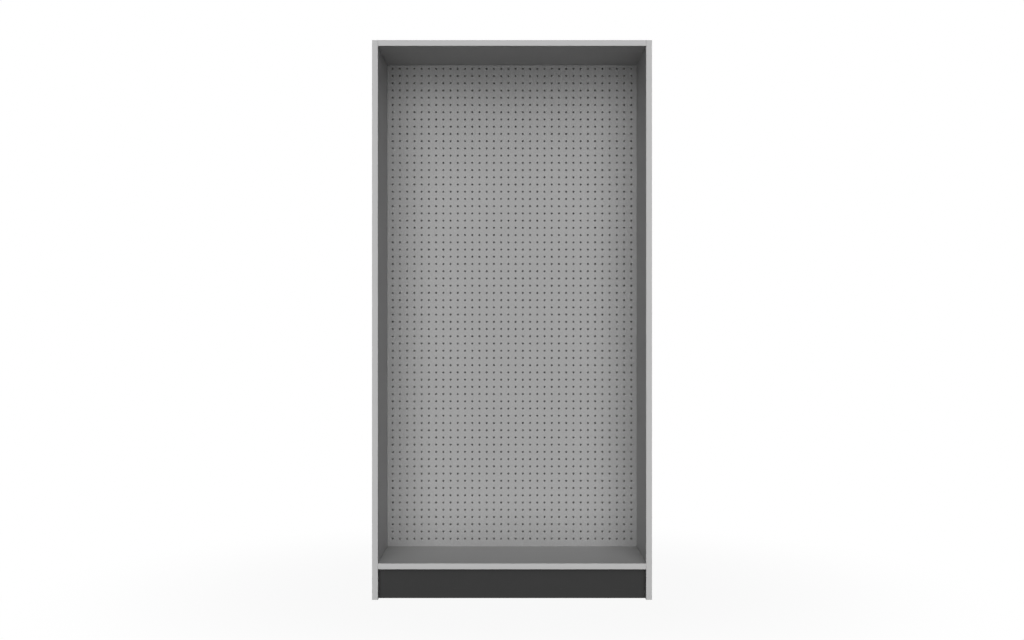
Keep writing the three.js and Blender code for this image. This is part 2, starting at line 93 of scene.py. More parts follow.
# Levelling feet
THREAD_PITCH = 1.5 * MM
THREAD_DEPTH = 0.9 * MM
THREAD_SIDES = 20
THREAD_STEPS = 8  # along one pitch
STEM_RADIUS = 5.0 * MM
COLLAR_LOW = 9.3 * MM
COLLAR_HIGH = 16.3 * MM
COLLAR_CORNER = 9.8 * MM
ROD_SUNK = 0.6 * MM  # how far the rod goes into its collar
SWIVEL_TIP = [(3.2, 3.0), (4.0, 3.8), (4.0, 9.6)]  # radius and height, mm
WELD_OUT = 8.6 * MM
WELD_HEIGHT = 53.4 * MM
WELD_LENGTH = 7.5 * MM

# Small screws
HEAD_RADIUS = 3.6 * MM
HEAD_HEIGHT = 2.3 * MM
CROSS_REACH = 2.0 * MM
CROSS_HALF_WIDTH = 0.45 * MM
CROSS_DEPTH = 1.2 * MM
PRESSED_STEEL = 3 * MM

# View
CAMERA_AWAY = 4.661  # in front of the unit's front edges
LENS = 50.17
SENSOR = 36


# ---------------------------------------------------------------------------------------------------------
# Shader maths
# ---------------------------------------------------------------------------------------------------------
class Signal:
    """A value that varies over a surface. Arithmetic on it adds Math nodes to its finish."""

    def __init__(self, finish, socket):
        self.finish = finish
        self.socket = socket

    def __add__(self, other):
        return self.finish.maths("ADD", self, other)

    __radd__ = __add__

    def __sub__(self, other):
        return self.finish.maths("SUBTRACT", self, other)

    def __rsub__(self, other):
        return self.finish.maths("SUBTRACT", other, self)

    def __mul__(self, other):
        return self.finish.maths("MULTIPLY", self, other)

    __rmul__ = __mul__

    def __truediv__(self, other):
        return self.finish.maths("DIVIDE", self, other)

    def __pow__(self, other):
        return self.finish.maths("POWER", self, other)


class Finish:
    """One material's node tree, with the patterns that this unit's finishes are made of."""

    def __init__(self, name):
        self.material = bpy.data.materials.new(name)
        self.material.use_nodes = True
        self.tree = self.material.node_tree
        self.tree.nodes.clear()
        self.here = self.node("ShaderNodeTexCoord", output="Object")

    def node(self, kind, settings=None, values=None, output=0):
        """Adds a node: its settings first, then each socket's value or link. Returns one output."""
        made = self.tree.nodes.new(kind)
        for key, value in (settings or {}).items():
            if key == "stops":
                for stop, (place, colour) in zip(made.color_ramp.elements, value):
                    stop.position = place
                    stop.color = colour
            else:
                setattr(made, key, value)
        for key, value in (values or {}).items():
            socket = made.inputs[key]
            if isinstance(value, Signal):
                self.tree.links.new(value.socket, socket)
            else:
                socket.default_value = value
        return Signal(self, made.outputs[output]) if len(made.outputs) else made

    def maths(self, operation, a, b):
        return self.node("ShaderNodeMath", {"operation": operation}, {0: a, 1: b})

    def blend(self, factor, low, high, mode="MIX"):
        settings = {"data_type": "RGBA", "blend_type": mode}
        return self.node("ShaderNodeMix", settings, {0: factor, 6: low, 7: high}, output=2)

    def rise(self, value, low, high):
        """0 below low, 1 above high, smooth between."""
        settings = {"interpolation_type": "SMOOTHSTEP"}
        return self.node("ShaderNodeMapRange", settings, {"Value": value, "From Min": low, "From Max": high})

    def scaled(self, stretch, turn=(0, 0, 0)):
        """The object's coordinates, stretched along X, Y and Z."""
        return self.node("ShaderNodeMapping", {}, {"Vector": self.here, "Scale": stretch, "Rotation": turn})

    def noise(self, size, detail=2.0, roughness=0.5, where=None):
        """Soft noise whose lumps are about size metres across, 0 to 1 around 0.5."""
        values = {"Vector": where or self.here, "Scale": 1 / size, "Detail": detail, "Roughness": roughness}
        return self.node("ShaderNodeTexNoise", {}, values, output="Fac")

    def cells(self, size, where=None, output="Distance", feature="F1"):
        values = {"Vector": where or self.here, "Scale": 1 / size}
        return self.node("ShaderNodeTexVoronoi", {"feature": feature}, values, output=output)

    def axes(self):
        split = self.tree.nodes.new("ShaderNodeSeparateXYZ")
        self.tree.links.new(self.here.socket, split.inputs[0])
        return [Signal(self, out) for out in split.outputs]

    def edge_distance(self, low, high):
        """How far a point of a board's surface is from the board's nearest edge."""
        gaps = [
            self.maths("MINIMUM", self.maths("ABSOLUTE", place - a, 0), self.maths("ABSOLUTE", place - b, 0))
            for place, a, b in zip(self.axes(), low, high)
        ]
        least = self.maths("MINIMUM", self.maths("MINIMUM", gaps[0], gaps[1]), gaps[2])
        most = self.maths("MAXIMUM", self.maths("MAXIMUM", gaps[0], gaps[1]), gaps[2])
        return gaps[0] + gaps[1] + gaps[2] - least - most

    def done(self, colour, roughness, height=None, depth=0.1 * MM, metallic=0.0, constants=None):
        """Joins the patterns to the shader, with height as its relief, and returns the material."""
        values = {"Base Color": colour, "Roughness": roughness, "Metallic": metallic}
        values.update(constants or {})
        if height is not None:
            relief = {"Height": height, "Distance": depth, "Strength": 1.0}
            values["Normal"] = self.node("ShaderNodeBump", {}, relief)
        shader = self.node("ShaderNodeBsdfPrincipled", {}, values)
        output = self.tree.nodes.new("ShaderNodeOutputMaterial")
        self.tree.links.new(shader.socket, output.inputs["Surface"])
        return self.material


def grey(level):
    return (level, level, level, 1.0)


# ---------------------------------------------------------------------------------------------------------
# Finishes
# ---------------------------------------------------------------------------------------------------------
LAMINATE_GREY = 0.375
BAND_GREY = 0.42
PEGBOARD_GREY = 0.317
KICK_GREY = 0.020


def grey_melamine(name, low, high):
    """Light grey melamine with a fine suede relief, faint print mottle, and handling marks near the edges."""
    f = Finish(name)
    cloud = f.noise(0.16, detail=3)
    mottle = f.noise(2.2 * MM, detail=2)
    speck = f.rise(f.cells(3.2 * MM), 0.10, 0.22)
    tone = 0.955 + 0.04 * cloud + 0.05 * mottle
    base = f.blend(f.rise(tone, 0.90, 1.12), grey(LAMINATE_GREY * 0.93), grey(LAMINATE_GREY * 1.07))
    base = f.blend(0.05 * (1 - speck), base, grey(0.16))
    near_edge = 1 - f.rise(f.edge_distance(low, high), 0.5 * MM, 14 * MM)
    rubbed = near_edge * f.rise(f.noise(9 * MM, detail=4), 0.52, 0.72)
    base = f.blend(0.16 * rubbed, base, grey(0.62))
    streak = f.rise(f.noise(6 * MM, detail=3, where=f.scaled((1, 1, 0.12), (0.35, 0.2, 0))), 0.60, 0.78)
    base = f.blend(0.05 * streak, base, grey(0.30))
    roughness = 0.46 + 0.10 * cloud - 0.10 * rubbed + 0.07 * streak
    suede = f.noise(0.55 * MM, detail=3, roughness=0.65) + 0.6 * f.cells(0.9 * MM)
    return f.done(base, roughness, suede, 0.05 * MM)


def band_plastic(name, along, grey_level=None):
    """Grey edge band: extruded streaks along its length, a satin sheen, and small knocks."""
    f = Finish(name)
    stretch = [1, 1, 1]
    stretch["XYZ".index(along)] = 0.02
    streaks = f.noise(0.8 * MM, detail=3, where=f.scaled(tuple(stretch)))
    knocks = f.rise(f.noise(7 * MM, detail=5, roughness=0.7), 0.66, 0.74)
    shade = BAND_GREY if grey_level is None else grey_level
    base = f.blend(f.rise(streaks, 0.3, 0.7), grey(shade * 0.965), grey(shade * 1.03))
    base = f.blend(0.22 * knocks, base, grey(shade * 0.55))
    roughness = 0.36 + 0.12 * streaks + 0.2 * knocks
    return f.done(base, roughness, streaks - 0.8 * knocks, 0.03 * MM)


def particle_core(name):
    """Cut particleboard: pressed flakes in tans and browns with small voids between them."""
    f = Finish(name)
    flat = f.scaled((1, 1, 1.6), (0.3, 0.2, 0.4))
    flakes = f.cells(2.6 * MM, where=flat, output="Color")
    chip = f.node("ShaderNodeSeparateColor", {}, {"Color": flakes}, output=0)
    gaps = f.rise(f.cells(2.6 * MM, where=flat, feature="DISTANCE_TO_EDGE"), 0.0, 0.09)
    dust = f.noise(0.7 * MM, detail=4)
    base = f.blend(chip, (0.40, 0.27, 0.14, 1), (0.66, 0.50, 0.30, 1))
    base = f.blend(0.55 * (1 - gaps), base, (0.13, 0.08, 0.04, 1))
    base = f.blend(f.rise(dust, 0.55, 0.8) * 0.3, base, (0.70, 0.58, 0.40, 1))
    return f.done(base, 0.82 + 0.1 * dust, chip * 0.5 + gaps + 0.4 * dust, 0.35 * MM)


def painted_hardboard(name):
    """Grey paint rolled on hardboard: orange peel, a fine mottle, and scuffs where hooks have rubbed."""
    f = Finish(name)
    mottle = f.noise(4.5 * MM, detail=3, roughness=0.7)
    cloud = f.noise(0.22, detail=2)
    base = f.blend(f.rise(mottle, 0.32, 0.68), grey(PEGBOARD_GREY * 0.92), grey(PEGBOARD_GREY * 1.08))
    base = f.blend(0.30 * f.rise(cloud, 0.35, 0.65), base, grey(PEGBOARD_GREY * 0.94))
    scuffs = f.rise(f.noise(5 * MM, detail=4, where=f.scaled((1, 1, 0.18), (0, 0.5, 0))), 0.66, 0.76)
    base = f.blend(0.10 * scuffs, base, grey(0.28))
    peel = f.noise(1.1 * MM, detail=2, roughness=0.6)
    roughness = 0.56 + 0.10 * mottle + 0.10 * scuffs
    return f.done(base, roughness, peel, 0.10 * MM)


def hardboard_fibre(name):
    """Bare hardboard: dark brown pressed fibre, as the punched holes and the rough back show it."""
    f = Finish(name)
    fibre = f.noise(1.6 * MM, detail=5, roughness=0.75, where=f.scaled((1, 1, 0.35)))
    weave = f.cells(1.9 * MM)
    base = f.blend(f.rise(fibre, 0.35, 0.65), (0.055, 0.034, 0.020, 1), (0.13, 0.085, 0.050, 1))
    return f.done(base, 0.78 + 0.14 * fibre, fibre + 0.5 * weave, 0.3 * MM)


def charcoal_laminate(name, low, high):
    """Charcoal kick laminate: fine leather grain, with pale shoe scuffs and dust that thicken downwards."""
    f = Finish(name)
    height = (f.axes()[2] - low[2]) / (high[2] - low[2])
    grain = f.cells(1.3 * MM) + 0.6 * f.noise(0.7 * MM, detail=3)
    low_down = 1 - f.rise(height, 0.05, 0.75)
    strokes = f.noise(7 * MM, detail=4, roughness=0.6, where=f.scaled((0.16, 1, 1), (0, 0.12, 0)))
    scuff = low_down * f.rise(strokes, 0.60, 0.72)
    dust = (1 - f.rise(height, 0.0, 0.22)) * f.noise(4 * MM, detail=4)
    tone = f.noise(0.09, detail=3)
    base = f.blend(f.rise(tone, 0.3, 0.7), grey(KICK_GREY * 0.92), grey(KICK_GREY * 1.08))
    base = f.blend(0.06 * scuff, base, grey(0.16))
    base = f.blend(0.04 * dust, base, (0.22, 0.215, 0.20, 1))
    edge = 1 - f.rise(f.edge_distance(low, high), 0.3 * MM, 2.2 * MM)
    base = f.blend(0.22 * edge * f.rise(strokes, 0.45, 0.65), base, grey(0.18))
    roughness = 0.44 + 0.10 * tone + 0.14 * scuff + 0.12 * dust
    return f.done(base, roughness, grain, 0.06 * MM, constants={"Specular IOR Level": 0.2})


def zinc_plate(name):
    """Bright zinc on pressed steel: faint spangle, drawn lines and dulled patches."""
    f = Finish(name)
    spangle = f.cells(3.0 * MM, output="Distance")
    drawn = f.noise(0.35 * MM, detail=3, where=f.scaled((1, 1, 0.08)))
    dull = f.rise(f.noise(8 * MM, detail=4), 0.45, 0.70)
    base = f.blend(f.rise(spangle, 0.1, 0.7), (0.60, 0.61, 0.62, 1), (0.71, 0.72, 0.735, 1))
    base = f.blend(0.35 * dull, base, (0.50, 0.50, 0.49, 1))
    roughness = 0.24 + 0.16 * dull + 0.10 * drawn
    return f.done(base, roughness, drawn + 0.3 * spangle, 0.02 * MM, metallic=1.0)


def moulded_plastic(name, colour, rough):
    """Moulded plastic: a fine spark-eroded texture, flow marks and a slight sheen."""
    f = Finish(name)
    spark = f.noise(0.35 * MM, detail=2)
    flow = f.noise(6 * MM, detail=3)
    lighter = tuple(min(1.0, 1.25 * c + 0.004) for c in colour[:3]) + (1,)
    base = f.blend(f.rise(flow, 0.35, 0.7), colour, lighter)
    roughness = rough + 0.12 * flow + 0.05 * spark
    return f.done(base, roughness, spark, 0.04 * MM)


def straight_grain(name, light, dark):
    """Planed timber with grain along X: early and late wood bands, fine pores and saw fuzz."""
    f = Finish(name)
    along = f.scaled((0.05, 1, 1))
    bend = f.noise(0.05, detail=2, where=f.scaled((0.3, 1, 1)))
    rings = f.noise(2.8 * MM, detail=3, roughness=0.6, where=along)
    pores = f.noise(0.45 * MM, detail=2, where=f.scaled((0.03, 1, 1)))
    base = f.blend(f.rise(rings + 0.2 * bend, 0.42, 0.78), light, dark)
    base = f.blend(0.25 * f.rise(pores, 0.56, 0.7), base, dark)
    return f.done(base, 0.62 + 0.15 * pores, pores + 0.5 * rings, 0.12 * MM)


raw_core = particle_core("particle_core")
peg_paint = painted_hardboard("pegboard_paint")
peg_fibre = hardboard_fibre("hardboard_fibre")
zinc = zinc_plate("zinc_plate")
black_nylon = moulded_plastic("black_nylon", (0.018, 0.018, 0.019, 1), 0.42)
grey_nylon = moulded_plastic("grey_cap_plastic", (0.43, 0.43, 0.43, 1), 0.34)
beech = straight_grain("beech", (0.58, 0.40, 0.24, 1), (0.42, 0.26, 0.14, 1))
pine = straight_grain("pine", (0.66, 0.49, 0.28, 1), (0.47, 0.29, 0.14, 1))
tape_upright = band_plastic("rear_tape_upright", "Z")
tape_across = band_plastic("rear_tape_across", "X")
kick_tape = band_plastic("kick_tape", "X", KICK_GREY * 0.9)


# ---------------------------------------------------------------------------------------------------------
# Mesh helpers
# ---------------------------------------------------------------------------------------------------------
def link(name, mesh, body, replaced, materials=None):
    """Puts a finished mesh into the scene on its body, in place of the CAD nodes it stands for."""
    piece = bpy.data.objects.new(name, mesh)
    bpy.context.scene.collection.objects.link(piece)
    if materials:
        mesh.materials.clear()
        for material in materials:
            mesh.materials.append(material)
    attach(piece, body)
    if replaced:
        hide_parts(*replaced)
    return piece


def body_of(node):
    for body, members in frame["record"]["behaviour"]["bodies"].items():
        if node in members:
            return body
    raise ValueError(node)


def cad_copy(node):
    """A CAD node's solid as whole flat faces, ready to be worked on."""
    bm = bmesh.new()
    bm.from_mesh(frame["nodes"][node].data)
    bmesh.ops.remove_doubles(bm, verts=bm.verts, dist=SAME_POINT)
    bmesh.ops.dissolve_limit(bm, angle_limit=FLAT_ANGLE, verts=bm.verts, edges=bm.edges)
    return bm


def ease(mesh, width, segments=2):
    """Rounds the edges that carry a bevel weight; the result is a plain mesh, no larger than before."""
    ends = [[end(vertex.co[axis] for vertex in mesh.vertices) for axis in range(3)] for end in (min, max)]
    blank = bpy.data.objects.new(mesh.name + "_blank", mesh)
    bpy.context.scene.collection.objects.link(blank)
    bevel = blank.modifiers.new("eased_edges", "BEVEL")
    bevel.width = width
    bevel.segments = segments
    bevel.limit_method = "WEIGHT"
    bevel.use_clamp_overlap = True
    rounded = bpy.data.meshes.new_from_object(blank.evaluated_get(bpy.context.evaluated_depsgraph_get()))
    bpy.data.objects.remove(blank)
    for vertex in rounded.vertices:
        vertex.co = [min(max(place, low), high) for place, low, high in zip(vertex.co, *ends)]
    rounded.set_sharp_from_angle(angle=CORNER_ANGLE)
    return rounded


def flatten(piece):
    """Shades the flats as flat and leaves the whole turn of the light to the rounded edges."""
    flats = piece.modifiers.new("flat_flats", "WEIGHTED_NORMAL")
    flats.mode = "FACE_AREA"
    flats.weight = 50
    flats.keep_sharp = True
    return piece


def weigh_edges(bm, wanted=lambda middle: True):
    """Marks the corners that are to be rounded, those whose middle is wanted, and leaves the rest crisp."""
    weight = bm.edges.layers.float.get("bevel_weight_edge") or bm.edges.layers.float.new("bevel_weight_edge")
    for edge in bm.edges:
        if len(edge.link_faces) == 2 and edge.calc_face_angle(0) > CORNER_ANGLE:
            rounded = wanted((edge.verts[0].co + edge.verts[1].co) / 2)
            edge[weight] = 1.0 if rounded else 0.0
            edge.smooth = rounded


def mesh_of(bm, name):
    mesh = bpy.data.meshes.new(name)
    for face in bm.faces:
        face.smooth = True
    bm.to_mesh(mesh)
    bm.free()
    return mesh


def eased_copy(node, suffix, finish, width, segments=2):
    """A CAD node's own shape with its corners rounded."""
    bm = cad_copy(node)
    weigh_edges(bm)
    mesh = ease(mesh_of(bm, node), width, segments)
    return flatten(link(f"{node}_{suffix}", mesh, body_of(node), [node], [finish]))


def loft(bm, rings, capped=True):
    """Joins rings of the same number of points into one closed skin, the first ring lowest."""
    rings = [[bm.verts.new(point) for point in ring] for ring in rings]
    for below, above in zip(rings, rings[1:]):
        for i in range(len(below)):
            j = (i + 1) % len(below)
            bm.faces.new((below[i], below[j], above[j], above[i]))
    if capped:
        bm.faces.new(list(reversed(rings[0])))
        bm.faces.new(rings[-1])
    return rings


# ---------------------------------------------------------------------------------------------------------
# Boards
# ---------------------------------------------------------------------------------------------------------
AXES = "XYZ"
FACE_LAMINATE, FACE_TAPE, FACE_CORE = 0, 1, 2


def skin(face, low, high):
    """Which side of the board's box a face lies on, as an axis and a sign, or None inside a cut."""
    for axis in range(3):
        if abs(face.normal[axis]) > 0.99:
            sign = 1 if face.normal[axis] > 0 else -1
            edge = high[axis] if sign > 0 else low[axis]
            if abs(face.calc_center_median()[axis] - edge) < ON_SKIN:
                return AXES[axis], sign
    return None


def board(
    node,
    laminate,
    tape,
    taped=(),
    bare=(),
    core=raw_core,
    rounding=BOARD_ROUNDING,
    banded_front=False,
):
    """A laminated board: its two faces laminated, the sides in taped covered, and every cut showing its core,
    as a face in bare does."""
    low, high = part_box(node)
    thin = AXES[min(range(3), key=lambda i: high[i] - low[i])]
    bm = cad_copy(node)
    for face in bm.faces:
        side = skin(face, low, high)
        if side and side[0] == thin and side not in bare:
            face.material_index = FACE_LAMINATE
        elif side in taped:
            face.material_index = FACE_TAPE
        else:
            face.material_index = FACE_CORE
    weigh_edges(bm, lambda middle: not (banded_front and middle.y < low.y + AT_FRONT))
    mesh = ease(mesh_of(bm, node), rounding)
    return flatten(link(node + "_board", mesh, body_of(node), [node], [laminate, tape, core]))


def edge_band(node, along):
    """A glued plastic band: its two outer arrises are rounded over, and its glued back stays square."""
    low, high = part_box(node)
    bm = cad_copy(node)
    weigh_edges(bm, lambda middle: middle.y < low.y + AT_FRONT)
    band = band_plastic(node + "_plastic", along)
    mesh = ease(mesh_of(bm, node), BAND_ROUNDING, segments=3)
    return flatten(link(node + "_strip", mesh, "frame", [node], [band]))


def make_boards():
    for side in SIDES:
        node = f"side_panel_{side}"
        melamine = grey_melamine(node + "_melamine", *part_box(node))
        board(node, melamine, tape_upright, {("Y", 1), ("Z", 1)}, banded_front=True)
        edge_band(f"edge_band_side_{side}", "Z")
    for node in ("top_panel", "base_deck"):
        melamine = grey_melamine(node + "_melamine", *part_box(node))
        board(node, melamine, tape_across, {("Y", 1)}, banded_front=True)
    for node in ("rear_base_rail", "base_centre_support"):
        board(node, grey_melamine(node + "_melamine", *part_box(node)), tape_across)
    edge_band("edge_band_top", "X")
    edge_band("edge_band_deck", "X")
    kick = charcoal_laminate("kick_laminate", *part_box("kickplate"))
    every_side = {(axis, sign) for axis in AXES for sign in (-1, 1)}
    board("kickplate", kick, kick_tape, every_side, rounding=KICK_ROUNDING)
    cover = grey_melamine("rear_cover_melamine", *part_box("rear_cover_panel"))
    inside = {("Y", -1)}
    board("rear_cover_panel", cover, tape_upright, (), inside, peg_fibre, SHEET_ROUNDING)
    for level in ("lower", "upper"):
        eased_copy(f"back_batten_{level}", "planed", pine, BATTEN_ROUNDING, 3)


# ---------------------------------------------------------------------------------------------------------
# Geometry node trees
# ---------------------------------------------------------------------------------------------------------
class Recipe:
    """A geometry node tree with named inputs."""

    def __init__(self, name, inputs):
        self.tree = bpy.data.node_groups.new(name, "GeometryNodeTree")
        self.keys = {}
        for label, (kind, _) in inputs.items():
            socket = self.tree.interface.new_socket(name=label, in_out="INPUT", socket_type=kind)
            self.keys[label] = socket.identifier
        self.tree.interface.new_socket(name="Geometry", in_out="OUTPUT", socket_type="NodeSocketGeometry")
        self.values = {label: value for label, (_, value) in inputs.items()}
        self.source = self.tree.nodes.new("NodeGroupInput")
        self.result = self.tree.nodes.new("NodeGroupOutput")

    def given(self, label):
        return self.source.outputs[label]

    def node(self, kind, settings=None, values=None, output=0):
        made = self.tree.nodes.new(kind)
        for key, value in (settings or {}).items():
            setattr(made, key, value)
        for key, value in (values or {}).items():
            for each in value if isinstance(value, list) else [value]:
                if isinstance(each, bpy.types.NodeSocket):
                    self.tree.links.new(each, made.inputs[key])
                else:
                    made.inputs[key].default_value = each
        return made.outputs[output]

    def maths(self, operation, a, b):
        return self.node("ShaderNodeMath", {"operation": operation}, {0: a, 1: b})

    def compare(self, operation, a, b):
        settings = {"data_type": "FLOAT", "operation": operation}
        return self.node("FunctionNodeCompare", settings, {"A": a, "B": b})

    def run(self, name, geometry, mesh=None):
        """Ends the tree in geometry, runs it on a mesh, and returns the result as a plain mesh."""
        self.tree.links.new(geometry, self.result.inputs["Geometry"])
        carrier = bpy.data.objects.new(name + "_carrier", mesh or bpy.data.meshes.new(name + "_start"))
        bpy.context.scene.collection.objects.link(carrier)
        modifier = carrier.modifiers.new(name, "NODES")
        modifier.node_group = self.tree
        for label, value in self.values.items():
            if value is not None:
                modifier[self.keys[label]] = value
        evaluated = carrier.evaluated_get(bpy.context.evaluated_depsgraph_get())
        made = bpy.data.meshes.new_from_object(evaluated)
        made.name = name
        carrier.modifiers.clear()
        bpy.data.objects.remove(carrier)
        return made


def perforated_sheet():
    """The pegboard: a sheet with a grid of punched round holes, painted over its face and their rims."""
    low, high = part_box("pegboard_panel")
    deck_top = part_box("base_deck")[1].z
    centre = (low + high) / 2
    grid_middle = deck_top + PEG_LOWEST_ROW + (PEG_ROWS - 1) * PEG_PITCH / 2
    number, whole, stuff = "NodeSocketFloat", "NodeSocketInt", "NodeSocketMaterial"
    r = Recipe(
        "perforated sheet",
        {
            "Width": (number, high.x - low.x),
            "Height": (number, high.z - low.z),
            "Thickness": (number, high.y - low.y),
            "Pitch": (number, PEG_PITCH),
            "Columns": (whole, PEG_COLUMNS),
            "Rows": (whole, PEG_ROWS),
            "Hole radius": (number, PEG_HOLE_RADIUS),
            "Chamfer": (number, PEG_CHAMFER),
            "Hole sides": (whole, PEG_SIDES),
            "Grid rise": (number, grid_middle - centre.z),
            "Paint": (stuff, peg_paint),
            "Fibre": (stuff, peg_fibre),
        },
    )
    half = r.maths("MULTIPLY", r.given("Thickness"), 0.5)
    radius = r.given("Hole radius")
    wide = r.maths("ADD", radius, r.given("Chamfer"))
    pitch = r.given("Pitch")
    rise = r.node("ShaderNodeCombineXYZ", {}, {"Y": r.given("Grid rise")})

    def grid(extra_cells):
        across = r.maths("ADD", r.given("Columns"), extra_cells)
        up = r.maths("ADD", r.given("Rows"), extra_cells)
        sizes = {
            "Size X": r.maths("MULTIPLY", across, pitch),
            "Size Y": r.maths("MULTIPLY", up, pitch),
            "Vertices X": r.maths("ADD", across, 1),
            "Vertices Y": r.maths("ADD", up, 1),
        }
        flat = r.node("GeometryNodeMeshGrid", {}, sizes)
        return r.node("GeometryNodeTransform", {}, {"Geometry": flat, "Translation": rise})

    def shifted(geometry, distance):
        up = r.node("ShaderNodeCombineXYZ", {}, {"Z": distance})
        return r.node("GeometryNodeTransform", {}, {"Geometry": geometry, "Translation": up})

    def pierced_square(hole):
        outline = {"Width": pitch, "Height": pitch}
        square = r.node("GeometryNodeCurvePrimitiveQuadrilateral", {"mode": "RECTANGLE"}, outline)
        round_hole = {"Resolution": r.given("Hole sides"), "Radius": hole}
        ring = r.node("GeometryNodeCurvePrimitiveCircle", {"mode": "RADIUS"}, round_hole)
        both = r.node("GeometryNodeJoinGeometry", {}, {"Geometry": [square, ring]})
        return r.node("GeometryNodeFillCurve", {"mode": "TRIANGLES"}, {"Curve": both})

    front = shifted(pierced_square(wide), half)
    back = shifted(pierced_square(radius), r.maths("MULTIPLY", half, -1))
    back = r.node("GeometryNodeFlipFaces", {}, {"Mesh": back})
    around = {"Vertices": r.given("Hole sides")}
    deep = r.maths("SUBTRACT", r.given("Thickness"), r.given("Chamfer"))
    wall_sizes = {**around, "Radius": radius, "Depth": deep}
    wall = r.node("GeometryNodeMeshCylinder", {"fill_type": "NONE"}, wall_sizes)
    wall = shifted(wall, r.maths("MULTIPLY", r.given("Chamfer"), -0.5))
    rim_sizes = {**around, "Radius Top": wide, "Radius Bottom": radius, "Depth": r.given("Chamfer")}
    rim = r.node("GeometryNodeMeshCone", {"fill_type": "NONE"}, rim_sizes)
    rim = shifted(rim, r.maths("SUBTRACT", half, r.given("Chamfer")))
    hole = r.node("GeometryNodeJoinGeometry", {}, {"Geometry": [wall, rim]})
    hole = r.node("GeometryNodeFlipFaces", {}, {"Mesh": hole})
    cell = r.node("GeometryNodeJoinGeometry", {}, {"Geometry": [front, back, hole]})
    lattice = grid(-1)
    cells = r.node("GeometryNodeInstanceOnPoints", {}, {"Points": lattice, "Instance": cell})

    # the plain margin round the holes: one more row of squares on every side, trimmed to the sheet
    place = r.node("ShaderNodeSeparateXYZ", {}, {0: r.node("GeometryNodeInputPosition")}).node
    x, y = place.outputs["X"], place.outputs["Y"]
    reach_x = r.maths("MULTIPLY", r.given("Columns"), r.maths("MULTIPLY", pitch, 0.5))
    reach_y = r.maths("MULTIPLY", r.given("Rows"), r.maths("MULTIPLY", pitch, 0.5))
    from_middle = r.maths("SUBTRACT", y, r.given("Grid rise"))
    inside_x = r.compare("LESS_THAN", r.maths("ABSOLUTE", x, 0), reach_x)
    inside_y = r.compare("LESS_THAN", r.maths("ABSOLUTE", from_middle, 0), reach_y)
    punched = r.node("FunctionNodeBooleanMath", {"operation": "AND"}, {0: inside_x, 1: inside_y})
    unpunched = {"Geometry": grid(2), "Selection": punched}
    margin = r.node("GeometryNodeDeleteGeometry", {"domain": "FACE"}, unpunched)
    half_width = r.maths("MULTIPLY", r.given("Width"), 0.5)
    half_height = r.maths("MULTIPLY", r.given("Height"), 0.5)

    def trimmed(value, limit):
        return r.maths("MINIMUM", r.maths("MAXIMUM", value, r.maths("MULTIPLY", limit, -1)), limit)

    to_sheet = r.node("ShaderNodeCombineXYZ", {}, {"X": trimmed(x, half_width), "Y": trimmed(y, half_height)})
    margin = r.node("GeometryNodeSetPosition", {}, {"Geometry": margin, "Position": to_sheet})
    at_side = r.compare("GREATER_THAN", r.maths("ABSOLUTE", x, 0), r.maths("SUBTRACT", half_width, 0.01 * MM))
    at_end = r.compare("GREATER_THAN", r.maths("ABSOLUTE", y, 0), r.maths("SUBTRACT", half_height, 0.01 * MM))
    outline = r.node("FunctionNodeBooleanMath", {"operation": "OR"}, {0: at_side, 1: at_end})
    margin_front = shifted(margin, half)
    margin_back = shifted(margin, r.maths("MULTIPLY", half, -1))
    margin_back = r.node("GeometryNodeFlipFaces", {}, {"Mesh": margin_back})
    down = r.node("ShaderNodeCombineXYZ", {}, {"Z": r.maths("MULTIPLY", r.given("Thickness"), -1)})
    push = {"Mesh": margin_front, "Selection": outline, "Offset": down}
    margin_front = r.node("GeometryNodeExtrudeMesh", {"mode": "EDGES"}, push)

    whole = r.node("GeometryNodeJoinGeometry", {}, {"Geometry": [margin_front, margin_back, cells]})
    whole = r.node("GeometryNodeRealizeInstances", {}, {"Geometry": whole})
    whole = r.node("GeometryNodeMergeByDistance", {}, {"Geometry": whole, "Distance": 0.004 * MM})
    tilt = r.node("ShaderNodeSeparateXYZ", {}, {0: r.node("GeometryNodeInputNormal")}, output="Z")
    painted = r.compare("GREATER_THAN", tilt, 0.5)
    whole = r.node("GeometryNodeSetMaterial", {}, {"Geometry": whole, "Material": r.given("Fibre")})
    coat = {"Geometry": whole, "Selection": painted, "Material": r.given("Paint")}
    whole = r.node("GeometryNodeSetMaterial", {}, coat)
    mesh = r.run("pegboard_perforated", whole)
    mesh.transform(Matrix.Translation(centre) @ Matrix.Rotation(math.pi / 2, 4, "X"))
    bm = bmesh.new()
    bm.from_mesh(mesh)
    bmesh.ops.recalc_face_normals(bm, faces=bm.faces)
    for face in bm.faces:
        face.smooth = True
    bm.to_mesh(mesh)
    bm.free()
    mesh.set_sharp_from_angle(angle=math.radians(40))
    return link("pegboard_perforated", mesh, "frame", ["pegboard_panel"])


# ---------------------------------------------------------------------------------------------------------
# Levelling feet
# ---------------------------------------------------------------------------------------------------------
def hexagon_ring(corner, height, fall=0.0, flat_circle=None, points=48):
    """A hexagon's outline as points; with a fall, its corners drop away as a turned chamfer leaves them."""
    ring = []
    for i in range(points):
        angle = 2 * math.pi * i / points
        from_flat = (angle + math.pi / 6) % (math.pi / 3) - math.pi / 6
        reach = corner * math.cos(math.pi / 6) / math.cos(from_flat)
        z = height - fall * (reach - flat_circle) if flat_circle else height
        ring.append((reach * math.cos(angle), reach * math.sin(angle), z))
    return ring


def circle_ring(radius, height, points=48):
    turns = [2 * math.pi * i / points for i in range(points)]
    return [(radius * math.cos(turn), radius * math.sin(turn), height) for turn in turns]


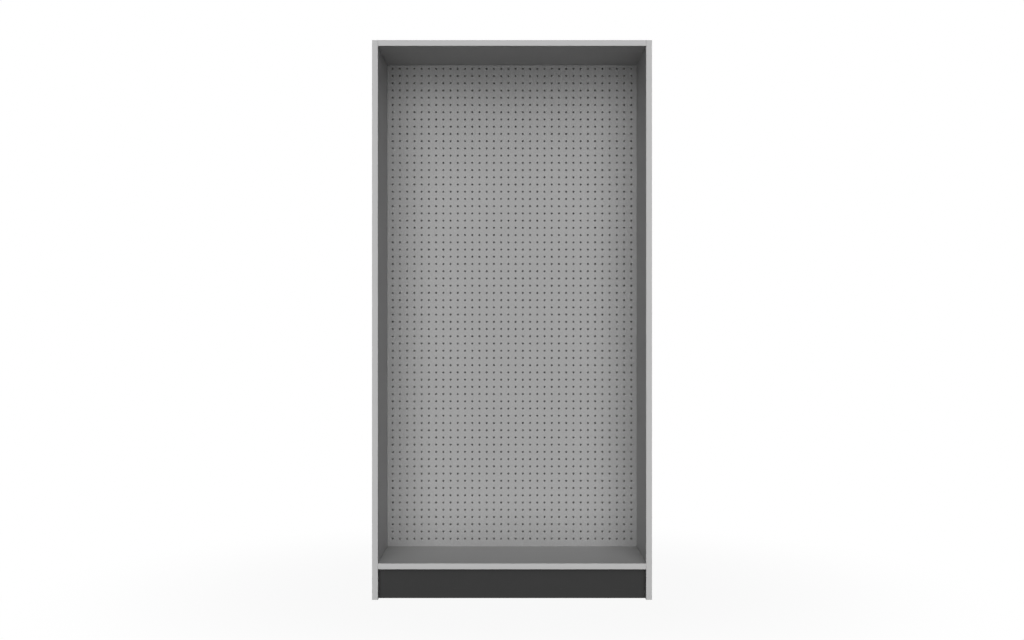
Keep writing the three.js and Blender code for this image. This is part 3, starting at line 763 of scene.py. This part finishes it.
def turned_hexagon(bm, corner, low, high):
    """A hexagon collar or nut with both its faces chamfered in the lathe."""
    circle = 0.84 * corner
    loft(
        bm,
        [
            circle_ring(circle, low),
            hexagon_ring(corner, low, -0.5, circle),
            hexagon_ring(corner, high, 0.5, circle),
            circle_ring(circle, high),
        ],
    )


def threaded_rod(radius, low, high):
    """A right-handed thread as a mesh: a tube's points are pushed in by where they lie on the helix."""
    number, whole, stuff = "NodeSocketFloat", "NodeSocketInt", "NodeSocketMaterial"
    turns = (high - low) / THREAD_PITCH
    r = Recipe(
        "threaded rod",
        {
            "Radius": (number, radius),
            "Length": (number, high - low),
            "Pitch": (number, THREAD_PITCH),
            "Depth": (number, THREAD_DEPTH),
            "Sides": (whole, THREAD_SIDES),
            "Steps": (whole, round(turns * THREAD_STEPS)),
            "Finish": (stuff, zinc),
        },
    )
    sizes = {
        "Vertices": r.given("Sides"),
        "Side Segments": r.given("Steps"),
        "Radius": r.given("Radius"),
        "Depth": r.given("Length"),
    }
    rod = r.node("GeometryNodeMeshCylinder", {"fill_type": "NGON"}, sizes)
    place = r.node("ShaderNodeSeparateXYZ", {}, {0: r.node("GeometryNodeInputPosition")}).node
    x, y, z = (place.outputs[axis] for axis in AXES)
    turn = r.maths("DIVIDE", r.maths("ARCTAN2", y, x), 2 * math.pi)
    along = r.maths("FRACT", r.maths("SUBTRACT", r.maths("DIVIDE", z, r.given("Pitch")), turn), 0)
    ridge = r.maths("ABSOLUTE", r.maths("SUBTRACT", r.maths("MULTIPLY", along, 2), 1), 0)
    steep = r.maths("SUBTRACT", r.maths("MULTIPLY", ridge, 1.3), 0.1)  # flattens the crest and the root
    ridge = r.maths("MINIMUM", r.maths("MAXIMUM", steep, 0), 1)
    root = r.maths("SUBTRACT", r.given("Radius"), r.given("Depth"))
    cut = r.maths("ADD", root, r.maths("MULTIPLY", ridge, r.given("Depth")))
    from_end = r.maths("SUBTRACT", r.maths("MULTIPLY", r.given("Length"), 0.5), r.maths("ABSOLUTE", z, 0))
    lead_in = r.maths("ADD", r.maths("SUBTRACT", root, 0.2 * MM), from_end)
    reach = r.maths("DIVIDE", r.maths("MINIMUM", cut, lead_in), r.given("Radius"))
    moved = {"X": r.maths("MULTIPLY", x, reach), "Y": r.maths("MULTIPLY", y, reach), "Z": z}
    moved = r.node("ShaderNodeCombineXYZ", {}, moved)
    rod = r.node("GeometryNodeSetPosition", {}, {"Geometry": rod, "Position": moved})
    rod = r.node("GeometryNodeRealizeInstances", {}, {"Geometry": rod})
    rod = r.node("GeometryNodeSetMaterial", {}, {"Geometry": rod, "Material": r.given("Finish")})
    mesh = r.run("threaded_rod", rod)
    mesh.transform(Matrix.Translation((0, 0, (low + high) / 2)))
    return mesh


def weld_bead(bm, flat_middle, outwards, length):
    """A short rippled fillet of weld along one flat of the nut."""
    sideways = Vector((-outwards.y, outwards.x, 0))
    rings = []
    for step in range(13):
        share = step / 12 * 2 - 1
        fat = 1.1 * MM * math.sqrt(max(0.04, 1 - share**4)) * (1 + 0.12 * math.cos(step * 2.1))
        centre = flat_middle + sideways * share * length / 2
        ring = []
        for corner in reversed(range(8)):
            angle = 2 * math.pi * corner / 8
            ring.append(centre + outwards * fat * math.cos(angle) + Vector((0, 0, fat * math.sin(angle))))
        rings.append(ring)
    loft(bm, rings)


def make_feet():
    stem_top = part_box("foot_stem_front_left")[1].z
    rod = threaded_rod(STEM_RADIUS, COLLAR_HIGH - ROD_SUNK, stem_top)
    for row in ROWS:
        for side in SIDES:
            stem = f"foot_stem_{row}_{side}"
            low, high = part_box(stem)
            axis = Vector(((low.x + high.x) / 2, (low.y + high.y) / 2, 0))
            bm = bmesh.new()
            bm.from_mesh(rod)
            turned_hexagon(bm, COLLAR_CORNER, COLLAR_LOW, COLLAR_HIGH)
            loft(bm, [circle_ring(radius * MM, height * MM, 24) for radius, height in SWIVEL_TIP])
            bmesh.ops.translate(bm, vec=axis, verts=bm.verts)
            mesh = mesh_of(bm, stem)
            mesh.set_sharp_from_angle(angle=math.radians(28))
            link(stem + "_threaded", mesh, stem, [stem], [zinc])
            eased_copy(f"foot_pad_{row}_{side}", "moulded", black_nylon, 0.5 * MM, 3)

            bracket = f"foot_bracket_{row}_{side}"
            bm = cad_copy(bracket)
            weigh_edges(bm)
            for flat in range(0, 6, 2):
                outwards = Vector((math.cos(flat * math.pi / 3), math.sin(flat * math.pi / 3), 0))
                weld_bead(bm, axis + outwards * WELD_OUT + Vector((0, 0, WELD_HEIGHT)), outwards, WELD_LENGTH)
            mesh = ease(mesh_of(bm, bracket), 0.3 * MM)
            flatten(link(bracket + "_pressed", mesh, "frame", [bracket], [zinc]))


# ---------------------------------------------------------------------------------------------------------
# Fittings and screws
# ---------------------------------------------------------------------------------------------------------
def make_fittings():
    for side in SIDES:
        for row in ROWS:
            eased_copy(f"cam_cap_{side}_{row}", "moulded", grey_nylon, 0.25 * MM)
            for level in LEVELS:
                eased_copy(f"cam_{level}_{side}_{row}", "cast", zinc, 0.2 * MM)
        eased_copy(f"kick_clip_stud_{side}", "moulded", black_nylon, 0.3 * MM)
        eased_copy(f"kick_clip_socket_{side}", "moulded", black_nylon, 0.4 * MM)


def pan_head(radius, height, reach, half_width, depth):
    """A pan-head screw from above: a domed head with a driver's cross, on a short neck. It stands on z 0."""
    bm = bmesh.new()
    star = []
    quarter = [(reach, -half_width), (reach, half_width), (half_width, half_width)]
    for _ in range(4):
        star += quarter
        quarter = [(-y, x) for x, y in quarter]
    around = [math.atan2(y, x) for x, y in star]
    profile = [(0.55 * radius, -0.8 * MM), (0.55 * radius, 0), (radius, 0), (radius, 0.45 * height)]
    profile += [(0.93 * radius, 0.74 * height), (0.76 * radius, 0.93 * height), (0.62 * radius, height)]
    rings = [[(r * math.cos(t), r * math.sin(t), z) for t in around] for r, z in profile]
    rings.append([(x, y, height) for x, y in star])
    rings.append([(0.8 * x, 0.8 * y, height - depth) for x, y in star])
    loft(bm, rings)
    mesh = mesh_of(bm, "pan_head")
    mesh.set_sharp_from_angle(angle=math.radians(35))
    return mesh


def screw_places():
    """Where each small screw stands, and which way its head faces."""
    places = []
    for side, way in SIDES.items():
        for row in ROWS:
            low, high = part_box(f"foot_bracket_{row}_{side}")
            plate = (high.x if way > 0 else low.x) - way * PRESSED_STEEL
            for y in (-11 * MM, 11 * MM):
                places.append(((plate, (low.y + high.y) / 2 + y, high.z - 15 * MM), (-way, 0, 0)))
        low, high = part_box(f"kick_clip_socket_{side}")
        plate = (high.x if way > 0 else low.x) - way * PRESSED_STEEL
        for z in (-16 * MM, 16 * MM):
            places.append(((plate, (low.y + high.y) / 2, (low.z + high.z) / 2 + z), (-way, 0, 0)))
    cover_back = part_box("rear_cover_panel")[1].y
    for level in ("lower", "upper"):
        low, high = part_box(f"back_batten_{level}")
        for i in range(-4, 5):
            places.append(((i * 0.1, cover_back, (low.z + high.z) / 2), (0, 1, 0)))
    rail_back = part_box("rear_base_rail")[1].y
    for z in (28 * MM, 72 * MM):
        places.append(((0, rail_back, z), (0, 1, 0)))
    return places


def make_screws():
    """Every small screw, one head set at each place and turned to where its driver stopped."""
    places = screw_places()
    carrier = bpy.data.meshes.new("screw_places")
    carrier.from_pydata([place for place, _ in places], [], [])
    facing = carrier.attributes.new("facing", "FLOAT_VECTOR", "POINT")
    for value, (_, way) in zip(facing.data, places):
        value.vector = way
    screw = pan_head(HEAD_RADIUS, HEAD_HEIGHT, CROSS_REACH, CROSS_HALF_WIDTH, CROSS_DEPTH)
    head = bpy.data.objects.new("pan_head", screw)
    r = Recipe(
        "screws at places",
        {
            "Geometry": ("NodeSocketGeometry", None),
            "Head": ("NodeSocketObject", head),
            "Seed": ("NodeSocketInt", 4),
            "Finish": ("NodeSocketMaterial", zinc),
        },
    )
    shape = r.node("GeometryNodeObjectInfo", {}, {"Object": r.given("Head")}, output="Geometry")
    way = r.node("GeometryNodeInputNamedAttribute", {"data_type": "FLOAT_VECTOR"}, {"Name": "facing"})
    stand = r.node("FunctionNodeAlignRotationToVector", {"axis": "Z"}, {"Vector": way})
    turns = {"Min": 0.0, "Max": 2 * math.pi, "Seed": r.given("Seed")}
    stop = r.node("FunctionNodeRandomValue", {"data_type": "FLOAT"}, turns, output="Value")
    spin = r.node("FunctionNodeAxisAngleToRotation", {}, {"Axis": (0, 0, 1), "Angle": stop})
    turned = r.node("FunctionNodeRotateRotation", {"rotation_space": "LOCAL"}, {0: stand, 1: spin})
    set_at = {"Points": r.given("Geometry"), "Instance": shape, "Rotation": turned}
    heads = r.node("GeometryNodeInstanceOnPoints", {}, set_at)
    heads = r.node("GeometryNodeRealizeInstances", {}, {"Geometry": heads})
    heads = r.node("GeometryNodeSetMaterial", {}, {"Geometry": heads, "Material": r.given("Finish")})
    mesh = r.run("small_screws", heads, carrier)
    bpy.data.objects.remove(head)
    link("small_screws", mesh, "frame", [])


# ---------------------------------------------------------------------------------------------------------
# Light, floor and camera
# ---------------------------------------------------------------------------------------------------------
WORLD_FILL = 0.03
FLOOR_GREY = 0.10
LIGHTS = [  # name, bearing from the front, height, width, strength
    ("front_low", 0, 1, 52, 1.66),
    ("front_high", 0, 30, 52, 1.40),
    ("left_rear", -138, 26, 60, 1.4),
    ("right_rear", 138, 26, 60, 1.4),
    ("below_rear", 180, -62, 50, 1.1),
]


def soft_sky(name, around, up, width, strength):
    """A wide, soft patch of light far away. Its bearing from the front, height and width are in degrees."""
    lamp = bpy.data.lights.new(name, "SUN")
    lamp.angle = math.radians(width)
    lamp.energy = strength
    lamp.cycles.use_multiple_importance_sampling = False
    patch = bpy.data.objects.new(name, lamp)
    around, up = math.radians(around), math.radians(up)
    towards = Vector((math.sin(around) * math.cos(up), -math.cos(around) * math.cos(up), math.sin(up)))
    patch.location = towards * 6
    patch.rotation_mode = "QUATERNION"
    patch.rotation_quaternion = towards.to_track_quat("Z", "Y")
    bpy.context.scene.collection.objects.link(patch)


def studio():
    world = bpy.data.worlds.new("studio")
    bpy.context.scene.world = world
    world.use_nodes = True
    nodes, links = world.node_tree.nodes, world.node_tree.links
    nodes.clear()
    seen = nodes.new("ShaderNodeLightPath").outputs["Is Camera Ray"]
    fill, bright = (nodes.new("ShaderNodeBackground") for _ in range(2))
    for background, strength in ((fill, WORLD_FILL), (bright, 1.0)):
        background.inputs["Color"].default_value = grey(1.0)
        background.inputs["Strength"].default_value = strength
    mix = nodes.new("ShaderNodeMixShader")
    out = nodes.new("ShaderNodeOutputWorld")
    links.new(seen, mix.inputs[0])
    links.new(fill.outputs[0], mix.inputs[1])
    links.new(bright.outputs[0], mix.inputs[2])
    links.new(mix.outputs[0], out.inputs[0])
    for patch in LIGHTS:
        soft_sky(*patch)


def floor():
    """A pale floor that fades into the pale room, with a faint pool of painted shade round the unit where its
    glow is turned down and a little of its lit matt shade, real shadows included, shows through; from below
    it is clear, so that the base can be seen.
    """
    bm = bmesh.new()
    bmesh.ops.create_grid(bm, x_segments=1, y_segments=1, size=8.0)
    bmesh.ops.translate(bm, vec=(0, 0, -0.4 * MM), verts=bm.verts)
    mesh = mesh_of(bm, "floor")
    plane = bpy.data.objects.new("floor", mesh)
    bpy.context.scene.collection.objects.link(plane)
    f = Finish("pale_floor")
    x, y, _ = f.axes()
    # near: 1 close to the unit, 0 beyond 1.7 m, the reach of the painted shade pool round the base
    near = 1 - f.rise((x * x + y * y) ** 0.5, 0.5, 1.7)
    speckle = f.noise(30 * MM, detail=3)
    tone = f.blend(speckle, grey(FLOOR_GREY * 0.97), grey(FLOOR_GREY * 1.03))
    matt = f.node("ShaderNodeBsdfDiffuse", {}, {"Color": tone})
    glow = f.node("ShaderNodeEmission", {}, {"Strength": 1.0})
    seen = f.node("ShaderNodeLightPath", output="Is Camera Ray")
    # the camera sees the floor's glow turned down by up to 6% near the unit, with the lit matt floor showing
    # through: painted shade, with the real shadows faintly in it
    lit = f.node("ShaderNodeMixShader", {}, {0: seen * (1 - 0.06 * near), 1: matt, 2: glow})
    behind = f.node("ShaderNodeNewGeometry", output="Backfacing")
    clear = f.node("ShaderNodeBsdfTransparent")
    shown = f.node("ShaderNodeMixShader", {}, {0: behind, 1: lit, 2: clear})
    f.node("ShaderNodeOutputMaterial", {}, {"Surface": shown})
    mesh.materials.append(f.material)
    plane.visible_shadow = False


def camera(front, middle):
    view = bpy.data.cameras.new("camera")
    view.sensor_width = SENSOR
    view.lens = LENS
    view.clip_end = 100
    eye = bpy.data.objects.new("camera", view)
    eye.location = (middle.x, front - CAMERA_AWAY, middle.z)
    eye.rotation_euler = (math.pi / 2, 0, 0)
    bpy.context.scene.collection.objects.link(eye)
    bpy.context.scene.camera = eye


make_boards()
perforated_sheet()
make_feet()
make_fittings()
make_screws()
hidden_finishes = {"dowel": beech, "cam_bolt": zinc}
for node, solid in frame["nodes"].items():
    for start, finish in hidden_finishes.items():
        if node.startswith(start):
            for slot in solid.material_slots:
                slot.material = finish

middle = (cad_low + cad_high) / 2
studio()
floor()
camera(cad_low.y, middle)
bpy.context.scene.view_settings.view_transform = "Standard"
